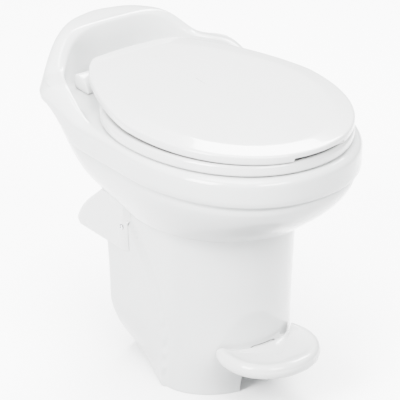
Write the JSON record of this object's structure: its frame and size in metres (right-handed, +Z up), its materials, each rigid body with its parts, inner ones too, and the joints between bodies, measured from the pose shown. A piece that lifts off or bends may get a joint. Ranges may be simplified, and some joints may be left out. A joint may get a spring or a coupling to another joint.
{
  "type": "rv toilet",
  "caption": "Gravity-flush RV toilet: china bowl with a raised back on a slim pedestal, seat and lid, and a round foot pedal that turns a flush ball",
  "frame": {"origin": "On the floor, at the middle of the overall box in plan", "axes": "+Z up; the front of the toilet faces -Y; +X is to the right of someone who stands in front and looks at it"},
  "size_m": [0.382, 0.595, 0.523],
  "materials": {
    "china": "glazed",
    "white_plastic": "gloss",
    "dark_plastic": "matte",
    "gear_plastic": "matte",
    "ball_plastic": "gloss",
    "rubber": "matte",
    "steel": "brushed",
    "brass": "brushed",
    "hose": "matte"
  },
  "bodies": {
    "base": {"bowl": "china", "pedestal": "china", "rear_cover": "white_plastic", "rear_cover_screw_left": "steel", "rear_cover_screw_right": "steel", "mechanism_housing": "dark_plastic", "ball_seal": "rubber", "shaft_bushing_left": "gear_plastic", "shaft_bushing_right": "gear_plastic", "floor_seal": "rubber", "bowl_clamp_left": "steel", "bowl_clamp_right": "steel", "clamp_screw_front": "steel", "clamp_screw_rear": "steel", "closet_bolt_left": "brass", "closet_washer_left": "brass", "closet_nut_left": "brass", "closet_bolt_right": "brass", "closet_washer_right": "brass", "closet_nut_right": "brass", "spring_cartridge": "dark_plastic", "return_spring": "steel", "pedal_bearing_left": "gear_plastic", "pedal_bearing_right": "gear_plastic", "water_valve": "dark_plastic", "inlet_locknut": "dark_plastic", "vacuum_breaker": "dark_plastic", "vacuum_breaker_cap": "dark_plastic", "rim_nozzle": "dark_plastic", "supply_hose": "hose", "rinse_hose": "hose", "hinge_post_left": "white_plastic", "hinge_pin_left": "steel", "hinge_bolt_left": "white_plastic", "hinge_nut_left": "white_plastic", "hinge_post_right": "white_plastic", "hinge_pin_right": "steel", "hinge_bolt_right": "white_plastic", "hinge_nut_right": "white_plastic"},
    "seat": {"seat": "white_plastic", "seat_bumper_front_left": "rubber", "seat_bumper_rear_left": "rubber", "seat_bumper_front_right": "rubber", "seat_bumper_rear_right": "rubber"},
    "lid": {"lid": "white_plastic", "lid_bumper_front_left": "rubber", "lid_bumper_rear_left": "rubber", "lid_bumper_front_right": "rubber", "lid_bumper_rear_right": "rubber"},
    "pedal": {"pedal": "white_plastic", "pedal_shaft": "steel", "sector_gear": "gear_plastic"},
    "ball": {"flush_ball": "ball_plastic", "pinion": "gear_plastic", "valve_cam": "gear_plastic"},
    "plunger": {"valve_plunger": "steel"},
    "inlet_nut": {"inlet_swivel_nut": "brass"},
    "poppet": {"vacuum_breaker_poppet": "rubber"}
  },
  "joints": [
    {"name": "seat_hinge", "type": "hinge", "parent": "base", "child": "seat", "pos_m": [0, 0.1865, 0.459], "axis": [-1, 0, 0], "range_deg": [0, 92]},
    {"name": "lid_hinge", "type": "hinge", "parent": "seat", "child": "lid", "pos_m": [0, 0.1865, 0.459], "axis": [1, 0, 0], "range_deg": [-92, 0]},
    {"name": "pedal_hinge", "type": "hinge", "parent": "base", "child": "pedal", "pos_m": [0, -0.0845, 0.084], "axis": [1, 0, 0], "range_deg": [0, 15], "stiffness_Nm_per_rad": 8, "springref_deg": -11.46},
    {"name": "ball_turn", "type": "hinge", "parent": "base", "child": "ball", "pos_m": [0, -0.0095, 0.236], "axis": [1, 0, 0], "range_deg": [-90, 0]},
    {"name": "plunger_slide", "type": "slide", "parent": "base", "child": "plunger", "axis": [0, 1, 0], "range_m": [0, 0.008]},
    {"name": "inlet_nut_turn", "type": "hinge", "parent": "base", "child": "inlet_nut", "pos_m": [-0.0885, 0.1285, 0.236], "axis": [0, 1, 0], "continuous": true},
    {"name": "poppet_slide", "type": "slide", "parent": "base", "child": "poppet", "axis": [0, 0, 1], "range_m": [0, 0.004]}
  ],
  "couplings": [
    {"joint": "ball_turn", "follows": "pedal_hinge", "ratio": -6},
    {"joint": "plunger_slide", "follows": "pedal_hinge", "m_per_rad": 0.03055}
  ]
}
